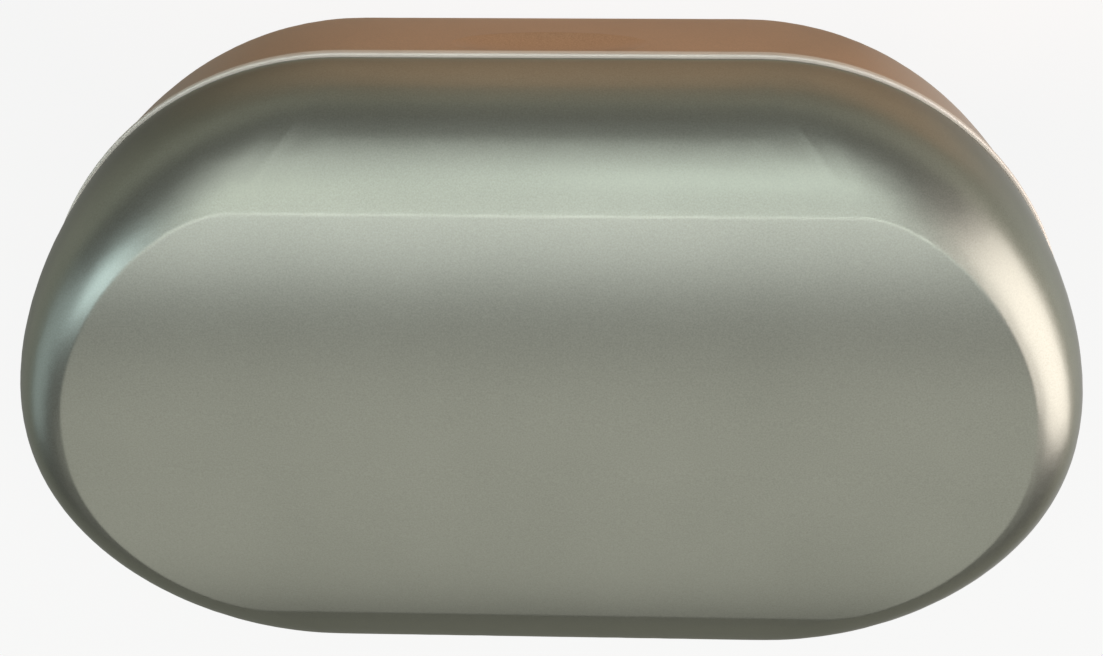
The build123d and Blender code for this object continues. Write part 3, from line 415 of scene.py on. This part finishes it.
dress(solder_mask("solder_mask", srgb(14, 66, 40), srgb(30, 96, 58)), "main_board", "button_board")
dress(open_foam("cell_foam", srgb(52, 52, 54)), "battery_pad")
dress(clear_plastic("light_pipe", srgb(236, 240, 238), 0.22), "light_pipes")
dress(clear_plastic("led_lens", srgb(240, 232, 180), 0.3), "leds")
print("finishes:", len(bpy.data.materials))

# %% [markdown]
# Now the soft pieces, whose shapes need more than a plain solid. A well's lining, a hold-down pad and a
# foot are all rounded forms, and the first two have a slot outline: two half circles and two straight
# sides. Such a form can be drawn by hand in one go: add a disc, pull its two halves apart, then extrude the
# face again and again and size each new ring. Both ends are sized about their own centres, so the rounded
# rim keeps one width all round.

# %% Slot-shaped lathe
RING_POINTS = 66


def select_points(piece, test):
    """In edit mode, selects the points whose place passes a test. Selected edges and faces stay so."""
    mesh = bmesh.from_edit_mesh(piece.data)
    for vert in mesh.verts:
        vert.select_set(test(vert))
    mesh.select_flush(True)
    bmesh.update_edit_mesh(piece.data)


def size_ends(piece, half_run, height, factor):
    """Sizes the selected ring about the centre of each of its round ends."""
    mesh = bmesh.from_edit_mesh(piece.data)
    ring = {vert.index for vert in mesh.verts if vert.select}
    for end in (1, -1):
        select_points(piece, lambda vert: vert.index in ring and vert.co.y * end > 0)
        centre = (0, end * half_run, height)
        bpy.ops.transform.resize(value=(factor, factor, 1), center_override=centre)
    select_points(piece, lambda vert: vert.index in ring)


def slot_form(name, half_run, profile):
    """Closed form with a slot outline. The profile lists (half width, height) from first ring to last."""
    bpy.ops.object.select_all(action="DESELECT")
    width, height = profile[0]
    bpy.ops.mesh.primitive_circle_add(vertices=RING_POINTS, radius=width, fill_type="NGON",
                                      location=(0, 0, 0))
    piece = bpy.context.object
    piece.name = name
    bpy.ops.object.mode_set(mode="EDIT")
    bpy.ops.transform.translate(value=(0, 0, height))
    for end in (1, -1):
        select_points(piece, lambda vert: vert.co.y * end > 0)
        bpy.ops.transform.translate(value=(0, end * half_run, 0))
    bpy.ops.mesh.select_all(action="SELECT")
    for next_width, next_height in profile[1:]:
        move = {"value": (0, 0, next_height - height)}
        bpy.ops.mesh.extrude_region_move(TRANSFORM_OT_translate=move)
        size_ends(piece, half_run, next_height, next_width / width)
        width, height = next_width, next_height
    bpy.ops.mesh.select_all(action="SELECT")
    bpy.ops.mesh.normals_make_consistent(inside=False)
    bpy.ops.object.mode_set(mode="OBJECT")
    return piece


def arc(middle, radius, first, last, steps=6):
    """Points of a round edge in a profile, from one angle to another, in degrees."""
    angles = [math.radians(first + (last - first) * step / steps) for step in range(steps + 1)]
    return [(middle[0] + radius * math.cos(a), middle[1] + radius * math.sin(a)) for a in angles]


def settle(piece, place, turn, finish, angle=40):
    """Puts a piece in its place in the case, smooths it and gives it its finish."""
    bpy.ops.object.select_all(action="DESELECT")
    piece.select_set(True)
    bpy.context.view_layer.objects.active = piece
    piece.location = place
    piece.rotation_euler = (0, 0, turn)
    bpy.ops.object.transform_apply(location=True, rotation=True, scale=True)
    bpy.ops.object.shade_smooth_by_angle(angle=math.radians(angle))
    piece.data.materials.clear()
    piece.data.materials.append(finish.material)


def block(low, high):
    """Plain block between two corners."""
    middle = [(a + b) / 2 for a, b in zip(low, high)]
    bpy.ops.object.select_all(action="DESELECT")
    bpy.ops.mesh.primitive_cube_add(size=1, location=middle)
    bpy.context.object.scale = [b - a for a, b in zip(low, high)]
    bpy.ops.object.transform_apply(location=True, rotation=True, scale=True)
    return bpy.context.object


def cut(piece, tool):
    """Takes one solid out of another and removes the tool."""
    bpy.context.view_layer.objects.active = piece
    change = piece.modifiers.new("cut", "BOOLEAN")
    change.operation = "DIFFERENCE"
    change.solver = "EXACT"
    change.object = tool
    bpy.ops.object.modifier_apply(modifier=change.name)
    bpy.data.objects.remove(tool)


def join(piece, others):
    """Makes one object of a piece and some others."""
    bpy.ops.object.select_all(action="DESELECT")
    for part in (piece, *others):
        part.select_set(True)
    bpy.context.view_layer.objects.active = piece
    bpy.ops.object.join()


print("lathe ready")

# %% [markdown]
# The two well linings are dipped-looking rubber: a rolled lip, a wall that runs down into a rounded floor,
# a window for the charging pins and a notch for the wire. Blue marks the left ear and red the right. The
# lining is one profile walked from the middle of its underside, up the outer wall, over the lip and down
# the inner wall. Its place and its widths repeat those of the solid insert, and its heights are read from
# the box of that insert.

# %% Well linings
WELL_X = 31.0 * MM
WELL_Y = -1.0 * MM
WELL_TILT = math.radians(8.0)
WELL_HALF_RUN = 10.0 * MM
LINING_OUTSIDE = 6.3 * MM
LINING_INSIDE = 5.3 * MM
LINING_LIP = 7.2 * MM
LIP_THICKNESS = 0.8 * MM
LIP_ROUND = 0.36 * MM
LINING_FLOOR = 1.0 * MM
FLOOR_ROUND = 1.6 * MM
WINDOW = (4.8 * MM, 9.4 * MM)
WINDOW_CUT = (-1.0 * MM, 3.0 * MM)
CONTACT_SHIFT = -9.0 * MM
CHANNEL_Y = 9.0 * MM
CHANNEL_HALF = 2.5 * MM
TROUGH_HALF = 17.0 * MM
CHANNEL_FLOOR = 14.9 * MM
CHANNEL_CUT_TOP = 30.0 * MM


def lining_profile(floor, thickness, top):
    """Half widths and heights of a well lining."""
    lip_low = top - LIP_THICKNESS
    points = [(LINING_OUTSIDE * 0.5, floor), (LINING_OUTSIDE - LIP_ROUND, floor)]
    points += arc((LINING_OUTSIDE - LIP_ROUND, floor + LIP_ROUND), LIP_ROUND, -90, 0, 3)[1:]
    points += [(LINING_OUTSIDE, lip_low)]
    points += arc((LINING_LIP - LIP_ROUND, lip_low + LIP_ROUND), LIP_ROUND, -90, 0, 4)
    points += arc((LINING_LIP - LIP_ROUND, top - LIP_ROUND), LIP_ROUND, 0, 90, 4)
    points += arc((LINING_INSIDE + LIP_ROUND, top - LIP_ROUND), LIP_ROUND, 90, 180, 5)
    inner_floor = floor + thickness
    points += arc((LINING_INSIDE - FLOOR_ROUND, inner_floor + FLOOR_ROUND), FLOOR_ROUND, 0, -90, 7)
    return points + [(LINING_INSIDE * 0.4, inner_floor)]


for side_name, side, rubber in (("left", -1, left_rubber), ("right", 1, right_rubber)):
    node = "insert_" + side_name
    low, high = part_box(node)
    lining = slot_form("lining_" + side_name, WELL_HALF_RUN, lining_profile(low.z, LINING_FLOOR, high.z))
    window = block((-WINDOW[0] / 2, CONTACT_SHIFT - WINDOW[1] / 2, low.z + WINDOW_CUT[0]),
                   (WINDOW[0] / 2, CONTACT_SHIFT + WINDOW[1] / 2, low.z + WINDOW_CUT[1]))
    cut(lining, window)
    settle(lining, (side * WELL_X, WELL_Y, 0), side * WELL_TILT, rubber)
    ends = sorted((side * TROUGH_HALF, side * WELL_X))
    notch = block((ends[0], CHANNEL_Y - CHANNEL_HALF, CHANNEL_FLOOR),
                  (ends[1], CHANNEL_Y + CHANNEL_HALF, CHANNEL_CUT_TOP))
    cut(lining, notch)
    settle(lining, (0, 0, 0), 0, rubber)
    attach(lining, "base")
    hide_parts(node)
    "insert_%s_rubber" % side_name
    print(lining.name, "faces:", len(lining.data.polygons))

# %% [markdown]
# A soft pad under the lid's roof keeps each aid down in its well. It is moulded foam rubber: full in the
# middle and drawn in at its edge. Its top has to follow the roof, so the last ring of the profile is lifted
# point by point until it meets the liner, which a ray straight up finds.

# %% Hold-down pads
HOLD_HALF_RUN = 7.0 * MM
HOLD_HALF_WIDTH = 4.0 * MM
HOLD_CROWN = 0.55 * MM
HOLD_ROUND = 1.3 * MM
HOLD_WALL = 1.0 * MM
SAME_HEIGHT = 0.01 * MM


def pad_profile(low):
    """Crowned underside, a round edge and a short wall."""
    flat = HOLD_HALF_WIDTH - HOLD_ROUND
    crown = [(flat * share, low + HOLD_CROWN * share**2) for share in (0.15, 0.4, 0.6, 0.8)]
    edge = arc((flat, low + HOLD_CROWN + HOLD_ROUND), HOLD_ROUND, -90, 0, 6)
    return crown + edge + [(HOLD_HALF_WIDTH, low + HOLD_CROWN + HOLD_ROUND + HOLD_WALL)]


for side_name, side in (("left", -1), ("right", 1)):
    node = "lid_pad_" + side_name
    low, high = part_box(node)
    pad = slot_form("hold_down_" + side_name, HOLD_HALF_RUN, pad_profile(low.z))
    rim = max(vert.co.z for vert in pad.data.vertices)
    settle(pad, (side * WELL_X, WELL_Y, 0), side * WELL_TILT, pad_rubber, 60)
    for vert in pad.data.vertices:
        if vert.co.z > rim - SAME_HEIGHT:
            hit, place, normal, face = nodes["lid_liner"].ray_cast(vert.co, Vector((0, 0, 1)))
            vert.co.z = place.z if hit else vert.co.z
    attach(pad, "lid")
    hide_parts(node)
    top = max(vert.co.z for vert in pad.data.vertices)
    print(pad.name, "from", round(low.z / MM, 1), "to", round(top / MM, 1))

# %% [markdown]
# The feet are small rubber discs that are stuck into round recesses, over the case screws. One is made, with
# soft edges, then copied to the other three corners. It is not right yet. Inset and extrude were meant to
# press a shallow ring into its sole, but `select_points` clears only points, so every face is still
# selected: the insets find no border, and each extrusion lifts a whole copy of the disc. So the sole is
# flat, and two more discs overlap the first, 0.25 and 0.05 mm higher. Clearing edges and faces as well
# mends it.

# %% Feet
FOOT_RADIUS = 4.2 * MM
FOOT_HEIGHT = 1.5 * MM
FOOT_PLACES = (21.9 * MM, 19.5 * MM)
FOOT_ROUND = 0.4 * MM
SOLE_RIM = 0.9 * MM
SOLE_SLOPE = 0.12 * MM
SOLE_RING = 1.1 * MM
SOLE_DEPTH = 0.25 * MM
SOLE_MIDDLE_DROP = 0.2 * MM
SOLE_MIDDLE_RIM = 0.3 * MM


def raise_face(distance):
    """Extrudes the selected face straight up or down."""
    bpy.ops.mesh.extrude_region_move(TRANSFORM_OT_translate={"value": (0, 0, distance)})


bpy.ops.object.select_all(action="DESELECT")
bpy.ops.mesh.primitive_cylinder_add(vertices=64, radius=FOOT_RADIUS, depth=FOOT_HEIGHT,
                                    location=(0, 0, FOOT_HEIGHT / 2))
foot = bpy.context.object
foot.name = "foot_soles"
bpy.ops.object.transform_apply(location=True, rotation=True, scale=True)
bpy.ops.object.mode_set(mode="EDIT")
select_points(foot, lambda vert: vert.co.z < FOOT_HEIGHT / 2)
bpy.ops.mesh.bevel(offset=FOOT_ROUND, segments=5, affect="EDGES")
select_points(foot, lambda vert: vert.co.z < FOOT_HEIGHT / 1000)
bpy.ops.mesh.inset(thickness=SOLE_RIM)
bpy.ops.mesh.inset(thickness=SOLE_SLOPE)
raise_face(SOLE_DEPTH)
bpy.ops.mesh.inset(thickness=SOLE_RING)
raise_face(-SOLE_MIDDLE_DROP)
bpy.ops.mesh.inset(thickness=SOLE_MIDDLE_RIM)
bpy.ops.object.mode_set(mode="OBJECT")
copies = []
for x_side, y_side in ((-1, -1), (-1, 1), (1, -1)):
    other = foot.copy()
    other.data = foot.data.copy()
    bpy.context.scene.collection.objects.link(other)
    other.location = (x_side * FOOT_PLACES[0], y_side * FOOT_PLACES[1], 0)
    copies.append(other)
foot.location = (FOOT_PLACES[0], FOOT_PLACES[1], 0)
join(foot, copies)
settle(foot, foot.location, 0, foot_rubber, 45)
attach(foot, "base")
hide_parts("feet")

# %% [markdown]
# The cell is a pouch: foil laminate folded round a stack of electrodes, sealed along both long sides and
# across the end where the leads come out. The pouch is a block with soft edges. Its side seals are folded up
# against it, so each is a thin strip laid along its side, and a thicker one covers the end with the leads.
# The foil is dull aluminium with fine creases.

# %% Cell
POUCH_ROUND = 0.9 * MM
SEAL_THICKNESS = 0.5 * MM
SEAL_INSET = 0.6 * MM
SEAL_HEIGHTS = (1.0 * MM, 0.8 * MM)
SEAL_ROUND = 0.12 * MM
TAB_REACH = 1.4 * MM
TAB_Y = (4.0 * MM, 17.0 * MM)
TAB_Z = (1.5 * MM, 3.4 * MM)
TAB_ROUND = 0.2 * MM
CREASE_SCALE = 420.0
CREASE_DEPTH = 0.2 * MM


def soft_block(low, high, rounding, segments):
    """Block between two corners, with its edges rounded."""
    piece = block(low, high)
    bpy.ops.object.mode_set(mode="EDIT")
    bpy.ops.mesh.select_all(action="SELECT")
    bpy.ops.mesh.bevel(offset=rounding, segments=segments, affect="EDGES")
    bpy.ops.object.mode_set(mode="OBJECT")
    return piece


def foil(name):
    """Laminated aluminium foil, creased where it was drawn over the cell."""
    sheet = Finish(name, srgb(176, 178, 182), 0.4, metallic=0.7)
    creases = sheet.noise(CREASE_SCALE, detail=5.0, roughness=0.65)
    sheet.set("Base Color", sheet.ramp(creases, [(0.3, srgb(150, 152, 156)), (0.7, srgb(188, 190, 194))]))
    sheet.set("Roughness", sheet.between(creases, 0.3, 0.52))
    sheet.bump(creases, 0.3, CREASE_DEPTH)
    return sheet


low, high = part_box("battery")
ends = (low.x + SEAL_INSET, high.x - SEAL_INSET)
cell = soft_block((ends[0], low.y + SEAL_INSET, low.z), (ends[1], high.y - SEAL_INSET, high.z),
                  POUCH_ROUND, 5)
cell.name = "cell_pouch"
for edge in (low.y, high.y - SEAL_THICKNESS):
    seal = soft_block((ends[0], edge, low.z + SEAL_HEIGHTS[0]),
                      (ends[1], edge + SEAL_THICKNESS, high.z - SEAL_HEIGHTS[1]), SEAL_ROUND, 3)
    join(cell, [seal])
tab = soft_block((low.x, low.y + TAB_Y[0], low.z + TAB_Z[0]),
                 (low.x + TAB_REACH, low.y + TAB_Y[1], low.z + TAB_Z[1]), TAB_ROUND, 3)
join(cell, [tab])
settle(cell, (0, 0, 0), 0, foil("pouch_foil"), 35)
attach(cell, "base")
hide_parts("battery")
print(cell.name, "faces:", len(cell.data.polygons))

# %% [markdown]
# In the charging inlet, the tongue carries two rows of tiny gold contacts. They are 0.5 mm apart and only
# just stand out of the plastic. One is a block with soft edges, copied along the tongue by a loop.

# %% Inlet contacts
CONTACT_COUNT = 12
CONTACT_PITCH = 0.5 * MM
CONTACT_WIDTH = 0.25 * MM
CONTACT_PROUD = 0.03 * MM
CONTACT_INSETS = (1.2 * MM, 0.35 * MM)
CONTACT_ROUND = 0.02 * MM

low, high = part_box("usb_tongue")
strips = []
for height in (low.z, high.z):
    for step in range(CONTACT_COUNT):
        x = (step - (CONTACT_COUNT - 1) / 2) * CONTACT_PITCH
        strip = soft_block((x - CONTACT_WIDTH / 2, low.y + CONTACT_INSETS[0], height - CONTACT_PROUD),
                           (x + CONTACT_WIDTH / 2, high.y - CONTACT_INSETS[1], height + CONTACT_PROUD),
                           CONTACT_ROUND, 2)
        strips.append(strip)
inlet_contacts = strips[0]
inlet_contacts.name = "inlet_contacts"
join(inlet_contacts, strips[1:])
settle(inlet_contacts, (0, 0, 0), 0, contact_gold, 30)
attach(inlet_contacts, "base")
print(inlet_contacts.name, "contacts:", len(strips))

# %% [markdown]
# Under each pair of charging pins sit two coil springs, and a spring gets shorter as its pin goes down. The
# solid model holds them at their length at rest, and a solid can't shorten. So a copy of each pair stands
# in for it here, its loose triangles merged, and the share of its length that it would keep with the pins
# down is worked out from how far they travel. The copy is not squashed by it.

# %% Contact springs
MERGE_DISTANCE = 0.0001 * MM

travels = {row["name"]: row["range_m"][1] for row in frame["record"]["behaviour"]["joints"]
           if row["type"] == "slide"}
for side_name in ("left", "right"):
    node = "contact_springs_" + side_name
    joint = "contacts_" + side_name
    low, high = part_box(node)
    springs = bpy.data.objects.new("plunger_springs_" + side_name, nodes[node].data.copy())
    bpy.context.scene.collection.objects.link(springs)
    settle(springs, (0, 0, 0), 0, spring_steel, 60)
    bpy.ops.object.mode_set(mode="EDIT")
    bpy.ops.mesh.select_all(action="SELECT")
    bpy.ops.mesh.remove_doubles(threshold=MERGE_DISTANCE)
    bpy.ops.object.mode_set(mode="OBJECT")
    keep = 1 - travels[joint] / (high.z - low.z)
    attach(springs, "base")
    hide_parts(node)
    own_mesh(springs)
    print(springs.name, "keeps", round(keep, 2), "of its length")

# %% [markdown]
# The case lies on a pale surface, and satin metal takes its colour from what lies under and around it. So
# the surface has a warm patch in front of the case and another at one front corner, which give the shells
# their brown tones there. Round the first it is a darker olive, and further out it is grey. Beside each end
# a patch, one of them dim, glows plain white in what metal mirrors, though the camera does not see it: a
# painted reflection of a pale card. Seen straight on, the surface is nearly white: Light Path lets the rays
# that come from the camera, and those that metal and glass send on, see more or less of a plain white, and
# what is left of the lit surface still carries the shadow of the case.

# %% Floor
FLOOR_SIDE = 16.0
WARM_COLOR = srgb(205, 170, 140)
SHADE_COLOR = srgb(104, 100, 84)
TABLE_COLOR = srgb(165, 165, 152)
TABLE_FADE = (0.06, 0.11)

# A patch has a middle, a reach, and a width over which its edge fades.
FRONT_PATCH = ((0.0, -0.055, 0.0), 0.06, 0.04)
CORNER_PATCH = ((-0.055, -0.045, 0.0), 0.03, 0.02)
# Glowing patches beside the ends, seen only in what metal mirrors: painted reflections of a pale card.
MIRRORED_GLOW_PATCH = ((-0.08, 0.02, 0.0), 0.07, 0.035)
MIRRORED_GLOW_WHITE = 0.95
DIM_MIRRORED_GLOW_PATCH = ((0.08, 0.02, 0.0), 0.07, 0.035)
DIM_MIRRORED_GLOW_WHITE = 0.3

# Shares of plain white that the camera sees straight on, and that metal and glass send on.
SEEN_WHITE = 0.9
MIRRORED_WHITE = 0.05

bpy.ops.object.select_all(action="DESELECT")
bpy.ops.mesh.primitive_plane_add(size=FLOOR_SIDE)
floor = bpy.context.object
floor.name = "floor"
paper = Finish("paper", TABLE_COLOR, 0.9)
place = paper.place()


def away_from(middle):
    """Distance on the floor from a point."""
    return paper.node("ShaderNodeVectorMath", {"operation": "DISTANCE"}, {0: place, 1: middle}, "Value")


def patch(middle, reach, fade):
    """Round patch with a soft edge: 1 at its middle and 0 from its reach on."""
    return ((reach - away_from(middle)) * (1 / fade)).clamped()


greys = [(TABLE_FADE[0], SHADE_COLOR), (TABLE_FADE[1], TABLE_COLOR)]
table = paper.ramp(away_from(FRONT_PATCH[0]), greys)
warm = (patch(*FRONT_PATCH) + patch(*CORNER_PATCH)).clamped()
inputs = {0: warm, 6: table, 7: (*WARM_COLOR, 1.0)}
paper.set("Base Color", paper.node("ShaderNodeMix", {"data_type": "RGBA"}, inputs, 2))
# Plain white that only mirrored rays see beside the ends: painted reflections.
mirrored_glows = patch(*MIRRORED_GLOW_PATCH) * MIRRORED_GLOW_WHITE + patch(*DIM_MIRRORED_GLOW_PATCH) * DIM_MIRRORED_GLOW_WHITE
share = paper.seen_share(SEEN_WHITE, MIRRORED_WHITE + mirrored_glows)
white = paper.node("ShaderNodeEmission", {}, {"Color": (1, 1, 1, 1), "Strength": 1.0})
sheet = Sock(paper, paper.shader.outputs[0])
mixed = paper.node("ShaderNodeMixShader", {}, {0: share, 1: sheet, 2: white})
output = paper.tree.nodes["Material Output"]
paper.tree.links.new(mixed.socket, output.inputs["Surface"])
floor.data.materials.append(paper.material)
print("floor", FLOOR_SIDE, "m")

# %% [markdown]
# Satin metal is drawn by what it reflects. A soft lamp, half-way up in front, gives the bright band on the
# front shoulder, with two small ones in it for the streaks at its ends. A narrow one above it draws the
# line along the crease, and one nearly overhead starts the panel bright at its front edge and lets it fall
# to a middle grey. A broad weak one behind keeps the rest of the panel at that grey. A low warm one lights
# the rim at one end, and two cooler and weaker ones the other. The lamps are faint, because a lamp that is
# seen in metal is as bright as its own surface, which is its power over its area.

# %% Lamps
AIM = Vector((0, 0, 0.02))
LAMP_DISTANCE = 0.65
ROOM_LIGHT = 0.08

# Name, degrees round the case from the front, degrees up, sides, brightness, colour.
LAMPS = [
    ("front_lamp", -3, 40, (0.7, 0.33), 1.25, (0.9, 0.97, 1.0)),
    ("crease_lamp", -3, 65, (0.75, 0.06), 6.8, (0.92, 0.98, 1.0)),
    ("over_lamp", -3, 80, (0.75, 0.14), 1.75, (0.9, 0.94, 1.0)),
    ("streak_lamp_right", 10, 43, (0.2, 0.05), 3.6, (0.85, 1.0, 0.97)),
    ("streak_lamp_left", -24, 47, (0.12, 0.05), 3.6, (0.9, 1.0, 0.88)),
    ("back_lamp", 180, 49, (0.9, 0.78), 0.65, (1.0, 1.0, 0.97)),
    ("warm_lamp", 86, 22, (0.72, 0.6), 3.3, (1.0, 0.9, 0.91)),
    ("cool_lamp", -68, 38, (0.2, 0.16), 4.4, (0.7, 0.88, 1.0)),
    ("low_cool_lamp", -95, 14, (0.5, 0.3), 0.7, (0.72, 0.9, 1.0)),
]


def area_lamp(name, around, up, sides, brightness, color):
    """Rectangular soft lamp that looks at the case: degrees round it from the front, and degrees up."""
    data = bpy.data.lights.new(name, "AREA")
    data.shape = "RECTANGLE"
    data.size, data.size_y = sides
    data.energy = brightness * math.pi * sides[0] * sides[1]
    data.color = color
    around, up = math.radians(around), math.radians(up)
    toward = Vector((-math.sin(around) * math.cos(up), -math.cos(around) * math.cos(up), math.sin(up)))
    lamp = bpy.data.objects.new(name, data)
    lamp.location = AIM + toward * LAMP_DISTANCE
    lamp.rotation_euler = toward.to_track_quat("Z", "Y").to_euler()
    bpy.context.scene.collection.objects.link(lamp)
    return lamp


for lamp_row in LAMPS:
    area_lamp(*lamp_row)
world = bpy.data.worlds.new("studio")
bpy.context.scene.world = world
studio = Graph(world)
background = world.node_tree.nodes["Background"]
background.inputs["Color"].default_value = (1, 1, 1, 1)
strength = studio.seen_share(SEEN_WHITE - ROOM_LIGHT, MIRRORED_WHITE) + ROOM_LIGHT
studio.tree.links.new(strength.socket, background.inputs["Strength"])
